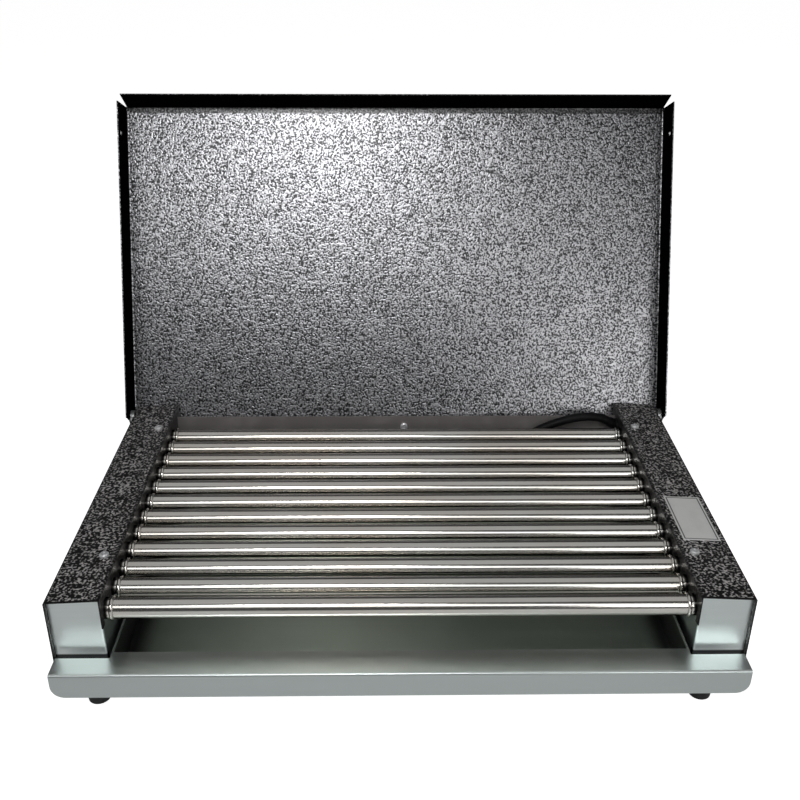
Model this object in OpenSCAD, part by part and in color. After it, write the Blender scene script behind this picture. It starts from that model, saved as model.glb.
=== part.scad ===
// Table-top electric grill with heating tubes, a slide-out drip tray and a hinged lid.
// Millimetres. X runs left to right, Y front to back, Z up from the floor under the feet.
// Lengths along Y are counted from the front edge of the covers and moved to the part's origin at the end.

/* [Body] */
// Width over the two side covers
body_w = 520; // [460:5:600]
// Width of each side box
box_w = 41; // [39:1:60]
// Height of the sheet body above its feet
body_h = 88; // [80:1:110]
// Space from the last tube to the back of the covers
rear_room = 37.3; // [36:0.1:60]
// Fall of the cover top from its inner edge to its outer edge
cover_fall = 2; // [1:0.1:3]
// Depth of the cover's inner lip
lip_h = 26; // [20:0.5:32]
// Sheet thickness of the covers
cover_t = 1; // [0.8:0.1:1.5]
// Inner radius of the bends in the covers and chassis channels
body_bend = 0.6; // [0.4:0.1:0.8]
// Sheet thickness of the chassis channels, rails and rear panel
chassis_t = 1; // [0.8:0.1:1.5]
// How far the front plates sit behind the covers' front edges
plate_recess = 4; // [2:0.5:8]
// Height of the rear panel
rear_panel_h = 42; // [30:1:46]

/* [Heating tubes] */
// Number of tubes
tube_n = 12; // [8:1:12]
// Outer diameter of a tube
tube_d = 16; // [14:0.5:18]
// Wall of a tube
tube_wall = 0.8; // [0.6:0.1:1.2]
// Distance from tube to tube
tube_pitch = 23.7; // [20:0.1:26]
// First tube's axis behind the front edge
tube_first = 14; // [12:0.5:20]
// Tube axis below the inner edge of the cover tops
tube_drop = 17.5; // [14:0.5:20]
// Length of tube that stands inside each box
tube_stub = 11; // [9:0.5:13]
// Height of the rolled stop bead above the tube
bead_rise = 1.2; // [0.8:0.1:1.5]
// Distance of the bead from the cover's lip
bead_in = 5; // [3:0.5:10]
// Diameter of the ceramic core rods
core_d = 8; // [6:0.5:9]
// Diameter over the heating winding
winding_d = 10; // [9.2:0.1:11]

/* [Lid] */
// Gap between each cover and the lid's side flange
lid_gap = 4; // [3:0.5:6]
// Sheet thickness of the lid
lid_t = 1; // [0.8:0.1:1.5]
// Inner radius of the lid's bends
lid_bend = 1.5; // [0.5:0.1:2.5]
// Angle that the open lid leans back from upright
lid_lean = 21; // [10:1:30]
// Height of the lid panel above the hinge axis
lid_rise = 14.5; // [14.4:0.1:18]
// Panel length behind the hinge axis
lid_tail = 3; // [2:0.5:4]
// Clear space between the closed lid's front flange and the body
lid_front_clear = 3; // [3:0.5:10]
// Depth of the side flanges
flange_h = 33; // [26:1:36]
// Depth of the front flange
front_flange_h = 36; // [26:1:40]
// Angle that the front flange flares outwards
front_flare = 8; // [0:1:14]
// How much shorter the front flange's free edge is at each end
front_taper = 3; // [1:0.5:6]
// Diameter of the hole in each side flange
flange_hole_d = 5; // [3:0.5:6]
// Distance of that hole from the lid panel
flange_hole_down = 22; // [14:0.5:24]
// Distance of that hole from the lid's front bend
flange_hole_back = 28; // [20:1:60]
// Hinge axis below the inner edge of the cover tops
hinge_drop = 7; // [7:0.1:9]
// Diameter of the hinge screws
hinge_screw_d = 4; // [3:0.5:4]

/* [Drip tray] */
// Depth of the tray pan
tray_h = 30; // [20:1:34]
// Sheet thickness of the tray
tray_t = 1; // [0.8:0.1:1.5]
// Inner radius of the tray's bends
tray_bend = 1; // [0.5:0.1:2]
// Gap between the pan and each box
tray_gap = 3.3; // [2.5:0.1:6]
// How far the front ledge stands out of the body
ledge_reach = 21.4; // [15:0.1:30]
// Space between the covers and the ledge's back edge
ledge_gap = 2.5; // [1:0.5:5]
// How much narrower the ledge is than the body at each end
ledge_inset = 2.5; // [1:0.5:6]
// Height of the turned-down front lip
tray_lip_h = 20.8; // [14:0.1:24]
// Radius of the lip's lower corners
tray_lip_r = 10; // [6:0.5:12]

/* [Feet] */
// Height of the feet
foot_h = 16; // [12:1:25]
// Diameter of a foot at its top
foot_d = 20; // [16:1:22]
// Foot centre in from the side of the body
foot_in = 25; // [22:1:27]
// Foot centre in from the front and the back
foot_end = 14; // [14:1:30]

/* [Screws] */
// Diameter of the screw shanks
screw_d = 4; // [3:0.5:4]
// Diameter of the pan heads
head_d = 7.5; // [6:0.5:8]
// Height of the pan heads
head_h = 2.4; // [1.8:0.1:2.6]

/* [Mains lead] */
// Outer diameter of the lead
cord_d = 8.4; // [8:0.1:8.6]
// Diameter of the plug body
plug_d = 36.8; // [34:0.2:36.8]

/* [Hidden] */
$fn = 48;
fit_gap = 0.3;
shaft_gap = 0.06;
sheet_step = 0.02;
corner_over = 0.1;

// Screws
screw_hole_d = screw_d + 2 * shaft_gap;
hinge_hole_d = hinge_screw_d + 2 * shaft_gap;
head_seat = 0.05;
cover_screw_in = 10;
cover_screw_front = 56;
cover_screw_back = 50;
cross_w = 0.9;
nut_h = 3;
nut_w = 7;
small_nut_w = 5.5;
small_nut_h = 2.4;
spacer_d = 12.6;
cover_screw_l = 8;
foot_screw_l = 13;
foot_floor = 6;
panel_screw_x = 7;
panel_screw_drop = 19;

// Places along Z
top_z = foot_h + body_h;
tube_z = top_z - tube_drop;
hinge_z = top_z - hinge_drop;
inner_top_z = top_z - cover_t - cover_fall - fit_gap;
runner_z = foot_h + 6.5;
tray_z = runner_z + fit_gap;
rim_z = tray_z + tray_h;
rear_panel_top = top_z - 8;
panel_screw_z = top_z - panel_screw_drop;

// Places along X, right side
cover_x = body_w / 2;
lip_x = cover_x - box_w;
wall_x = lip_x + cover_t + fit_gap;
box_in_x = wall_x + chassis_t;
box_out_x = cover_x - cover_t - fit_gap;
lid_x = cover_x + lid_gap;
tray_x = wall_x - tray_gap;
ledge_x = cover_x - ledge_inset;
tube_end_x = box_in_x + tube_stub;
fall_angle = atan(cover_fall / box_w);

// Places along Y, from the covers' front edge
last_tube_y = tube_first + (tube_n - 1) * tube_pitch;
body_d = last_tube_y + rear_room;
plate_y = plate_recess;
back_plate_y = body_d - 2;
rear_panel_y = body_d - 12;
hinge_y = body_d + fit_gap - lid_rise * cos(lid_lean) + lid_tail * sin(lid_lean);
lid_reach = hinge_y + lid_front_clear;
pan_front_y = 3;
pan_back_y = rear_panel_y - 18;

// The part's origin: middle of the open grill's length and width, on the floor
front_bend_in = lid_bend * tan(45 - front_flare / 2);
lid_far_y = hinge_y + (lid_rise - lid_bend) * cos(lid_lean) + (lid_reach - front_bend_in) * sin(lid_lean)
    + lid_bend + lid_t;
mid_y = (lid_far_y - ledge_reach) / 2;
front_screw_reach = hinge_y - cover_screw_front + head_d;
close_angle = 90 + lid_lean + asin((lid_rise - hinge_drop - head_h - 0.2) / front_screw_reach);

// Tubes and what they hold
tube_r = tube_d / 2;
bore_r = tube_r - tube_wall;
pin_r = 1.5;
core_end_x = tube_end_x - 8;
bush_out_x = tube_end_x + 4;
strip_x = tube_end_x + 12;
strip_t = 1.2;
strip_h = 10;
pin_end_x = tube_end_x + 16;
bead_r = 1.6;
bead_x = lip_x - bead_in;

// Rails and runners
rail_w = 18;
front_rail_y = 10;
front_rail_h = 4.5;
rear_rail_y = pan_back_y + 1;
rear_rail_h = 11;
runner_w = 14;
runner_h = 10;
runner_len = pan_back_y - plate_recess - 10;
link_hole_d = 6;

// Label plate on the right cover
label_w = 30;
label_l = 64;
label_t = 0.4;
label_in = 6;
label_y = 73;

// Parts on the mains lead: points in the part's own frame, chosen along the way that the lead lies
cord_r = cord_d / 2;
cord_sides = 8;
cord_route = [
    [210, 90, 95], [204, 90, 98], [192, 90, 100], [178, 90, 99], [160, 90, 94],
    [144, 90, 87], [129, 90, 77], [116, 91, 64], [107, 95, 50], [101, 104, 38],
    [98, 118, 26], [95, 134, 15], [93, 149, 7], [93, 162, 4.2], [93, 171, 4.2]
];
plug_route = [
    [-23, 171, 13.1], [-23, 165, 13.1], [-26, 153, 14], [-34, 141, 15.5], [-47, 133, 17],
    [-61, 130, 18.3], [-70, 130, 18.5], [-74, 130, 18.5]
];
coil_centre = [35, 180];
coil_out_r = 58;
coil_step = 8.9;
coil_turns = 2;
coil_rings = 24;
coil_sides = 6;
coil_low_z = 4.2;
coil_high_z = coil_low_z + coil_step;

// Boot in the right box's wall, behind the last tube, in line with the lead's first points
boot_dir = unit(cord_route[1] - cord_route[0]);
boot_fall = boot_dir[2] / boot_dir[0];
boot_reach = 10;
boot_neck_r = 5.6;
boot_flange_r = 7.4;
boot_flange_t = 2;
boot_mid_x = lip_x + cover_t;
boot_y = last_tube_y + 15.87;
boot_z = tube_z + 3.5;

// The lead inside the box, as steps from the middle of the boot
tail_steps = [[10, 0, -5], [16, 0, -8], [22, -1, -13], [26, -4, -19], [28, -6, -26], [28, -6, -36]];
tail_route = [for (step = tail_steps) [boot_mid_x, boot_y - mid_y, boot_z] + step];
tail_end = tail_route[len(tail_route) - 1];

// Terminal block, leads and earth screw inside the right box
lead_r = 1.3;
lead_sides = 8;
block_w = 24;
block_l = 30;
block_h = 16;
block_in = 20;
block_x = wall_x + block_in;
block_back = 36;
block_y = body_d - block_back;
block_z = foot_h + chassis_t;
block_top_z = block_z + block_h;
block_screw_d = 3;
block_screw_hole_d = block_screw_d + 2 * shaft_gap;
block_screw_x = block_x - 8;
block_screw_ys = [block_y - 10, block_y + 6];
earth_ahead = 48;
earth_y = block_y - earth_ahead;
link_y = rear_rail_y + 6;
link_z = foot_h + 5.5;
strip_mid_x = strip_x + strip_t / 2;
strip_low_z = tube_z - strip_h / 2;
strip_lead_y = last_tube_y - 4;
live_x = block_x - 4;
live_y = block_y - 8;
link_rise = 22;
lead_drop = 8;

// The live lead's way up from the block, and the neutral link's way up from the left box's wall
live_steps = [[0, 0, 0], [0, 0, 8], [3, -1, 24]];
link_steps = [[6, 0, 0], [14, -2, 3], [19, -6, 16]];

function two_digits(i) = str(i < 9 ? "0" : "", i + 1);
function tube_name(i) = str("tube_", two_digits(i));
function tube_y(i) = tube_first + i * tube_pitch;

// From body lengths to the part's origin
module in_body() {
    translate([0, -mid_y, 0]) children();
}

module on_side(side) {
    if (side < 0) mirror([1, 0, 0]) children();
    else children();
}

// A place on the sloped top of the right cover, dx out from its inner edge
module on_cover_top(dx, y) {
    translate([lip_x, y, top_z]) rotate([0, fall_angle, 0]) translate([dx, 0, 0]) children();
}

module along_x(x, y, z) {
    translate([x, y, z]) rotate([0, 90, 0]) children();
}

// What a bend of radius r takes off a sharp corner at p, or fills in on its inner side. The two sides
// leave the corner along a and b, and the piece reaches a little way past them.
module corner_piece(p, a, b, r) {
    u = unit(a);
    v = unit(b);
    half = acos(u * v) / 2;
    along = r / tan(half);
    centre = p + unit(u + v) * r / sin(half);
    difference() {
        polygon([
            p - unit(u + v) * corner_over / sin(half), p + along * u - corner_over * squared(v, u),
            centre, p + along * v - corner_over * squared(u, v)
        ]);
        translate(centre) circle(r = r);
    }
}

// A YZ profile drawn out along X, half_l each way
module across(half_l) {
    translate([-half_l, 0, 0]) rotate([90, 0, 90]) linear_extrude(height = 2 * half_l) children();
}

// Swept tubes: each ring is square to the path, and is carried on without twist
function unit(v) = v / norm(v);
function heading(p, i) = unit(p[min(i + 1, len(p) - 1)] - p[max(i - 1, 0)]);
function squared(n, t) = unit(n - (n * t) * t);
function carried_normals(p, first) = [
    for (i = 0, n = squared(first, heading(p, 0)); i < len(p); i = i + 1, n = squared(n, heading(p, i))) n
];
function ring_points(c, n, t, r, sides) = [
    for (k = [0:sides - 1]) c + r * (cos(360 * k / sides) * n + sin(360 * k / sides) * cross(t, n))
];

module swept_tube(p, r, sides, first = [0, 0, 1]) {
    normals = carried_normals(p, first);
    last = len(p) - 1;
    polyhedron(
        points = [for (i = [0:last]) each ring_points(p[i], normals[i], heading(p, i), r, sides)],
        faces = concat(
            [[for (k = [0:sides - 1]) k]],
            [[for (k = [sides - 1:-1:0]) last * sides + k]],
            [for (i = [0:last - 1], k = [0:sides - 1])
                each [[i * sides + k, (i + 1) * sides + k, (i + 1) * sides + (k + 1) % sides],
                      [i * sides + k, (i + 1) * sides + (k + 1) % sides, i * sides + (k + 1) % sides]]]
        )
    );
}

// Pan head screw along +Z: the head's flat lies at z = 0 and the shank goes down
module pan_screw(length, shank = screw_d, head = head_d, rise = head_h) {
    difference() {
        union() {
            cylinder(h = rise * 0.6, d = head);
            translate([0, 0, rise * 0.6]) cylinder(h = rise * 0.4, d1 = head, d2 = head * 0.7);
        }
        for (a = [0, 90]) {
            rotate([0, 0, a]) translate([-head * 0.3, -cross_w / 2, rise * 0.45])
                cube([head * 0.6, cross_w, rise]);
        }
    }
    translate([0, 0, -length]) cylinder(h = length + sheet_step, d = shank);
}

module hex_nut(across, height, hole) {
    difference() {
        cylinder(h = height, d = across / cos(30), $fn = 6);
        translate([0, 0, -1]) cylinder(h = height + 2, d = hole);
    }
}

// Side boxes

module cover_section(inset, r) {
    outer = [cover_x - inset, top_z - cover_fall - inset];
    inner = [lip_x + inset, top_z - inset];
    difference() {
        polygon([[outer[0], foot_h - inset], outer, inner, [inner[0], foot_h - inset]]);
        corner_piece(outer, [0, -1], inner - outer, r);
        corner_piece(inner, [0, -1], outer - inner, r);
    }
}

module cover_outline() {
    difference() {
        cover_section(0, body_bend + cover_t);
        cover_section(cover_t, body_bend);
        translate([lip_x - 1, foot_h - 1]) square([cover_t + 2, top_z - lip_h - foot_h + 1]);
    }
}

// Slot that is open at the lip's lower edge, so the cover lifts off over the tubes
module lip_notch(y, r, z = tube_z) {
    low_z = top_z - lip_h - 1;
    along_x(lip_x - 1, y, z) cylinder(h = cover_t + 2, r = r);
    if (z > low_z) translate([lip_x - 1, y - r, low_z]) cube([cover_t + 2, 2 * r, z - low_z]);
}

module side_cover(side) {
    on_side(side) difference() {
        translate([0, body_d, 0]) rotate([90, 0, 0]) linear_extrude(height = body_d) cover_outline();
        for (i = [0:tube_n - 1]) lip_notch(tube_y(i), tube_r + fit_gap);
        if (side > 0) lip_notch(boot_y, boot_neck_r + fit_gap, boot_z);
        for (y = [cover_screw_front, body_d - cover_screw_back]) {
            on_cover_top(cover_screw_in, y) translate([0, 0, -4]) cylinder(h = 8, d = screw_hole_d);
        }
        along_x(cover_x - 3, hinge_y, hinge_z) cylinder(h = 6, d = hinge_hole_d);
    }
}

// Channel with the bare front plate, bottom, inner wall, top flange and back plate
module side_chassis(side) {
    flange_w = 20;
    wall_h = inner_top_z - foot_h;
    wall_l = back_plate_y + chassis_t - plate_y;
    end_w = box_out_x - wall_x;
    on_side(side) difference() {
        union() {
            translate([wall_x, plate_y, foot_h]) cube([chassis_t, wall_l, wall_h]);
            translate([wall_x, plate_y, foot_h]) cube([end_w, wall_l, chassis_t]);
            translate([wall_x, plate_y, foot_h]) cube([end_w, chassis_t, wall_h]);
            translate([wall_x, back_plate_y, foot_h]) cube([end_w, chassis_t, wall_h]);
            translate([wall_x, plate_y, inner_top_z - chassis_t]) cube([flange_w, wall_l, chassis_t]);
            translate([0, 0, foot_h]) linear_extrude(height = wall_h)
                corner_piece([wall_x + chassis_t, plate_y + chassis_t], [1, 0], [0, 1], body_bend);
        }
        translate([0, 0, foot_h - 1]) linear_extrude(height = wall_h + 2)
            corner_piece([wall_x, plate_y], [1, 0], [0, 1], body_bend + chassis_t);
        for (i = [0:tube_n - 1]) {
            along_x(wall_x - 1, tube_y(i), tube_z) cylinder(h = chassis_t + 2, r = tube_r + fit_gap);
        }
        for (y = [cover_screw_front, body_d - cover_screw_back]) {
            on_cover_top(cover_screw_in, y) translate([0, 0, -8]) cylinder(h = 10, d = screw_hole_d);
        }
        for (y = [foot_end, body_d - foot_end]) {
            translate([cover_x - foot_in, y, foot_h - 1]) cylinder(h = chassis_t + 2, d = screw_hole_d);
        }
        along_x(wall_x - 1, link_y, link_z) cylinder(h = chassis_t + 2, d = link_hole_d);
        if (side > 0) {
            along_x(wall_x - 1, boot_y, boot_z) cylinder(h = chassis_t + 2, r = boot_neck_r + fit_gap);
            for (y = block_screw_ys) {
                translate([block_screw_x, y, foot_h - 1])
                    cylinder(h = chassis_t + 2, d = block_screw_hole_d);
            }
            translate([block_x, earth_y, foot_h - 1]) cylinder(h = chassis_t + 2, d = screw_hole_d);
        }
    }
}

// Cross panel behind the last tube: it reaches the chassis walls below the covers' lips, with a tab there
module rear_cross_panel() {
    tab_l = 9;
    low_z = rear_panel_top - rear_panel_h;
    tab_h = top_z - lip_h - fit_gap - low_z;
    difference() {
        union() {
            translate([fit_gap - lip_x, rear_panel_y, low_z])
                cube([2 * (lip_x - fit_gap), chassis_t, rear_panel_h]);
            translate([-wall_x, rear_panel_y, low_z]) cube([2 * wall_x, chassis_t, tab_h]);
            translate([-wall_x, rear_panel_y, low_z]) cube([2 * wall_x, tab_l, chassis_t]);
            for (side = [-1, 1]) {
                on_side(side) translate([wall_x - chassis_t, rear_panel_y, low_z])
                    cube([chassis_t, tab_l, tab_h]);
            }
        }
        translate([panel_screw_x, rear_panel_y - 1, panel_screw_z]) rotate([-90, 0, 0])
            cylinder(h = chassis_t + 2, d = screw_hole_d);
    }
}

// Channel across the body, open downwards
module cross_rail(y, h) {
    difference() {
        translate([-wall_x, y, foot_h]) cube([2 * wall_x, rail_w, h]);
        translate([-wall_x - 1, y + chassis_t, foot_h - 1])
            cube([2 * wall_x + 2, rail_w - 2 * chassis_t, h + 1 - chassis_t]);
    }
}

module front_cross_rail() {
    cross_rail(front_rail_y, front_rail_h);
}

module rear_cross_rail() {
    cross_rail(rear_rail_y, rear_rail_h);
}

// Angle on the chassis wall that the tray slides on
module tray_runner(side) {
    y = plate_y + 6;
    on_side(side) {
        translate([wall_x - runner_w, y, runner_z - chassis_t]) cube([runner_w, runner_len, chassis_t]);
        translate([wall_x - chassis_t, y, runner_z - chassis_t]) cube([chassis_t, runner_len, runner_h]);
    }
}

// Heating tubes

module stop_bead() {
    rotate_extrude() translate([tube_r + bead_rise - bead_r, 0]) circle(r = bead_r);
}

module heating_tube(i) {
    along_x(0, tube_y(i), tube_z) difference() {
        union() {
            cylinder(h = 2 * tube_end_x, r = tube_r, center = true);
            for (x = [-bead_x, bead_x]) translate([0, 0, x]) stop_bead();
        }
        cylinder(h = 2 * tube_end_x + 2, r = bore_r, center = true);
    }
}

module every_tube() {
    for (i = [0:tube_n - 1]) along_x(0, tube_y(i), tube_z) children();
}

module every_tube_end() {
    for (side = [-1, 1], i = [0:tube_n - 1]) on_side(side) along_x(0, tube_y(i), tube_z) children();
}

module core_rods() {
    every_tube() cylinder(h = 2 * core_end_x, d = core_d, center = true);
}

module windings() {
    every_tube() difference() {
        cylinder(h = 2 * (core_end_x - 16), d = winding_d, center = true);
        cylinder(h = 2 * core_end_x, d = core_d, center = true);
    }
}

module bushes() {
    every_tube_end() difference() {
        union() {
            translate([0, 0, core_end_x]) cylinder(h = tube_end_x - core_end_x, r = bore_r - fit_gap / 3);
            translate([0, 0, tube_end_x]) cylinder(h = bush_out_x - tube_end_x, r = tube_r - fit_gap);
        }
        translate([0, 0, core_end_x - 1]) cylinder(h = bush_out_x - core_end_x + 2, r = pin_r + shaft_gap);
    }
}

module pins() {
    every_tube_end() translate([0, 0, core_end_x]) cylinder(h = pin_end_x - core_end_x, r = pin_r);
}

module pin_nuts() {
    every_tube_end() translate([0, 0, strip_x + strip_t])
        hex_nut(small_nut_w, small_nut_h, 2 * (pin_r + shaft_gap));
}

module bus_strip(side) {
    y = tube_first - 6;
    on_side(side) difference() {
        translate([strip_x, y, strip_low_z]) cube([strip_t, last_tube_y + 6 - y, strip_h]);
        for (i = [0:tube_n - 1]) {
            along_x(strip_x - 1, tube_y(i), tube_z) cylinder(h = strip_t + 2, r = pin_r + shaft_gap);
        }
    }
}

// Wiring in the right box

module block() {
    difference() {
        translate([block_x - block_w / 2, block_y - block_l / 2, block_z]) cube([block_w, block_l, block_h]);
        for (y = block_screw_ys) {
            translate([block_screw_x, y, block_z - 1]) cylinder(h = block_h + 2, d = block_screw_hole_d);
        }
    }
}

module block_fixings() {
    for (y = block_screw_ys) {
        translate([block_screw_x, y, block_top_z + head_seat])
            pan_screw(block_h + 6, block_screw_d, small_nut_w, 2);
        translate([block_screw_x, y, foot_h - small_nut_h])
            hex_nut(small_nut_w, small_nut_h, block_screw_hole_d);
    }
}

// The lead's three cores, from its cut end down to the block
module three_cores() {
    for (a = [0, 120, 240]) {
        translate([tail_end[0] + 2 * cos(a), tail_end[1] + 2 * sin(a), block_top_z])
            cylinder(h = tail_end[2] - block_top_z, r = lead_r);
    }
}

module lead(route) {
    swept_tube(route, lead_r, lead_sides, [0, 1, 0.3]);
}

live_route = concat(
    [for (step = live_steps) [live_x, live_y, block_top_z] + step],
    [[strip_mid_x, strip_lead_y, strip_low_z - lead_drop], [strip_mid_x, strip_lead_y, strip_low_z]]
);
neutral_route = concat(
    [[block_x - block_w / 2, link_y, link_z], [wall_x - block_in, link_y, link_z]],
    [for (step = link_steps) [-wall_x - step[0], link_y + step[1], link_z + step[2]]],
    [[-strip_mid_x, strip_lead_y + 4, strip_low_z - link_rise],
     [-strip_mid_x, strip_lead_y, strip_low_z - lead_drop], [-strip_mid_x, strip_lead_y, strip_low_z]]
);
earth_route = [
    [block_x, block_y - block_l / 2, block_z + 7], [block_x, block_y - block_l / 2 - 5, block_z + 7],
    [block_x, earth_y + 16, block_z + 4.5], [block_x, earth_y + 10, block_z + 4.5]
];

module earth_fixing() {
    translate([block_x, earth_y, foot_h - head_seat]) mirror([0, 0, 1]) pan_screw(9);
    translate([block_x, earth_y, block_z]) hex_nut(nut_w, nut_h, screw_hole_d);
    difference() {
        translate([block_x, earth_y, block_z + nut_h]) union() {
            cylinder(h = 1, d = 8);
            translate([-2, 0, 0]) cube([4, 10, 1]);
            translate([-2, 8, 0]) cube([4, 2, 3]);
        }
        translate([block_x, earth_y, block_z]) cylinder(h = 8, d = screw_hole_d);
    }
}

// Clamp round the lead's end, with an arm to the back plate
module clamp() {
    y = tail_end[1] + mid_y;
    low_z = tail_end[2] + 0.5;
    clamp_w = 6;
    clamp_h = 7;
    difference() {
        union() {
            translate([tail_end[0], y, low_z]) cylinder(h = clamp_h, r = cord_r + 2.2);
            translate([tail_end[0] - clamp_w / 2, y, low_z]) cube([clamp_w, back_plate_y - y, clamp_h]);
        }
        translate([tail_end[0], y, low_z - 1]) cylinder(h = clamp_h + 2, r = cord_r + fit_gap / 2);
    }
}

// Lid: panel, side flanges with rounded hinge ends, and a flared front flange with open corners.
// Drawn upright round the hinge axis, with the panel behind it, then leaned back.

module flange_outline() {
    ear_r = 7;
    difference() {
        union() {
            polygon([
                [lid_rise + lid_t, -lid_tail], [lid_rise + lid_t, lid_reach],
                [lid_rise - flange_h, lid_reach], [lid_rise - flange_h, 1], [-ear_r / 2, -lid_tail]
            ]);
            circle(r = ear_r);
        }
        circle(d = hinge_hole_d);
        translate([lid_rise - flange_hole_down, lid_reach - flange_hole_back]) circle(d = flange_hole_d);
    }
}

// It starts inside the panel's sheet, and is a little narrower than the space between the side flanges
module front_flange_outline() {
    root_x = lid_x - lid_t / 2;
    free_x = lid_x - front_taper;
    polygon([
        [-root_x, -lid_t * 0.8], [root_x, -lid_t * 0.8], [root_x, 0], [free_x, front_flange_h],
        [-free_x, front_flange_h], [-root_x, 0]
    ]);
}

module lid_sheet() {
    panel_l = lid_tail + lid_reach + lid_t * tan(45 - front_flare / 2);
    half_w = lid_x + lid_t;
    flare_way = [-cos(front_flare), sin(front_flare)];
    difference() {
        union() {
            translate([-half_w, lid_rise, -lid_tail]) cube([2 * half_w, lid_t, panel_l]);
            for (side = [-1, 1]) on_side(side) side_flange();
            translate([0, lid_rise, lid_reach]) rotate([180 - front_flare, 0, 0]) translate([0, 0, -lid_t])
                linear_extrude(height = lid_t) front_flange_outline();
            across(lid_x - lid_bend) corner_piece([lid_rise, lid_reach], [0, -1], flare_way, lid_bend);
        }
        for (side = [-1, 1]) {
            on_side(side) translate([0, 0, -lid_tail - 1]) linear_extrude(height = panel_l + 2)
                corner_piece([half_w, lid_rise + lid_t], [-1, 0], [0, -1], lid_bend + lid_t);
        }
        across(half_w + 1)
            corner_piece([lid_rise + lid_t, panel_l - lid_tail], [0, -1], flare_way, lid_bend + lid_t);
    }
}

module open_lid() {
    translate([0, hinge_y, hinge_z]) rotate([-lid_lean, 0, 0]) lid_sheet();
}

module side_flange() {
    translate([lid_x, 0, 0]) rotate([90, 0, 90]) linear_extrude(height = lid_t) flange_outline();
    translate([0, 0, -lid_tail]) linear_extrude(height = lid_tail + lid_reach - 2 * lid_bend)
        corner_piece([lid_x, lid_rise], [-1, 0], [0, -1], lid_bend);
}

// Drip tray

module tray_lip_outline() {
    low_z = rim_z - tray_lip_h;
    translate([-ledge_x, low_z + tray_lip_r]) square([2 * ledge_x, tray_lip_h - tray_lip_r]);
    translate([tray_lip_r - ledge_x, low_z]) square([2 * (ledge_x - tray_lip_r), tray_lip_h]);
    for (x = [-1, 1]) translate([x * (ledge_x - tray_lip_r), low_z + tray_lip_r]) circle(r = tray_lip_r);
}

module tray() {
    pan_l = pan_back_y - pan_front_y;
    difference() {
        translate([-tray_x, pan_front_y, tray_z]) cube([2 * tray_x, pan_l, tray_h]);
        translate([tray_t - tray_x, pan_front_y + tray_t, tray_z + tray_t])
            cube([2 * (tray_x - tray_t), pan_l - 2 * tray_t, tray_h]);
    }
    difference() {
        union() {
            translate([-tray_x, -ledge_reach, rim_z - tray_t])
                cube([2 * tray_x, ledge_reach + pan_front_y + tray_t, tray_t]);
            translate([-ledge_x, -ledge_reach, rim_z - tray_t])
                cube([2 * ledge_x, ledge_reach - ledge_gap, tray_t]);
            translate([0, tray_t - ledge_reach, 0]) rotate([90, 0, 0]) linear_extrude(height = tray_t)
                tray_lip_outline();
            across(ledge_x)
                corner_piece([tray_t - ledge_reach, rim_z - tray_t], [1, 0], [0, -1], tray_bend);
        }
        across(ledge_x + 1) corner_piece([-ledge_reach, rim_z], [1, 0], [0, -1], tray_bend + tray_t);
    }
}

// Feet and screws

module foot(side, y) {
    on_side(side) translate([cover_x - foot_in, y, 0]) difference() {
        cylinder(h = foot_h, d1 = foot_d - 3, d2 = foot_d);
        translate([0, 0, -1]) cylinder(h = foot_h + 1 - foot_floor, d = head_d + 1.5);
        translate([0, 0, -1]) cylinder(h = foot_h + 2, d = screw_hole_d);
    }
}

module foot_fixings() {
    for (side = [-1, 1], y = [foot_end, body_d - foot_end]) {
        on_side(side) translate([cover_x - foot_in, y, 0]) {
            translate([0, 0, foot_h - foot_floor - head_seat]) mirror([0, 0, 1]) pan_screw(foot_screw_l);
            translate([0, 0, foot_h + chassis_t]) hex_nut(nut_w, nut_h, screw_hole_d);
        }
    }
}

module cover_fixings() {
    for (side = [-1, 1], y = [cover_screw_front, body_d - cover_screw_back]) {
        on_side(side) on_cover_top(cover_screw_in, y) translate([0, 0, head_seat]) pan_screw(cover_screw_l);
    }
}

module hinge_fixings() {
    head_x = lid_x + lid_t + fit_gap;
    for (side = [-1, 1]) on_side(side) along_x(head_x, hinge_y, hinge_z)
        pan_screw(head_x - cover_x + cover_t + nut_h + 1, hinge_screw_d, head_d + 0.5);
}

module spacers() {
    for (side = [-1, 1]) on_side(side) along_x(cover_x, hinge_y, hinge_z) difference() {
        cylinder(h = lid_gap - fit_gap, d = spacer_d);
        translate([0, 0, -1]) cylinder(h = lid_gap + 2, d = hinge_hole_d);
    }
}

module inner_nuts() {
    for (side = [-1, 1]) on_side(side) along_x(cover_x - cover_t - nut_h - sheet_step, hinge_y, hinge_z)
        rotate([0, 0, 30]) hex_nut(nut_w, nut_h, hinge_hole_d);
}

module panel_fixing() {
    translate([panel_screw_x, rear_panel_y - head_seat, panel_screw_z]) rotate([90, 0, 0]) pan_screw(7);
    translate([panel_screw_x, rear_panel_y + chassis_t + nut_h, panel_screw_z]) rotate([90, 0, 0])
        hex_nut(nut_w, nut_h, screw_hole_d);
}

module data_plate() {
    on_cover_top(label_in, label_y) translate([0, 0, sheet_step]) cube([label_w, label_l, label_t]);
}

// Mains lead

// A cone along the boot's axis, from the middle of the wall, reach long towards +X or -X
module boot_cone(side) {
    turn = atan2(boot_dir[0], boot_dir[2]);
    translate([boot_mid_x, boot_y, boot_z]) rotate([0, side > 0 ? turn + 180 : turn, 0])
        cylinder(h = boot_reach / abs(boot_dir[0]), r1 = boot_neck_r - 0.4, r2 = cord_r + 0.6);
}

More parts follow.
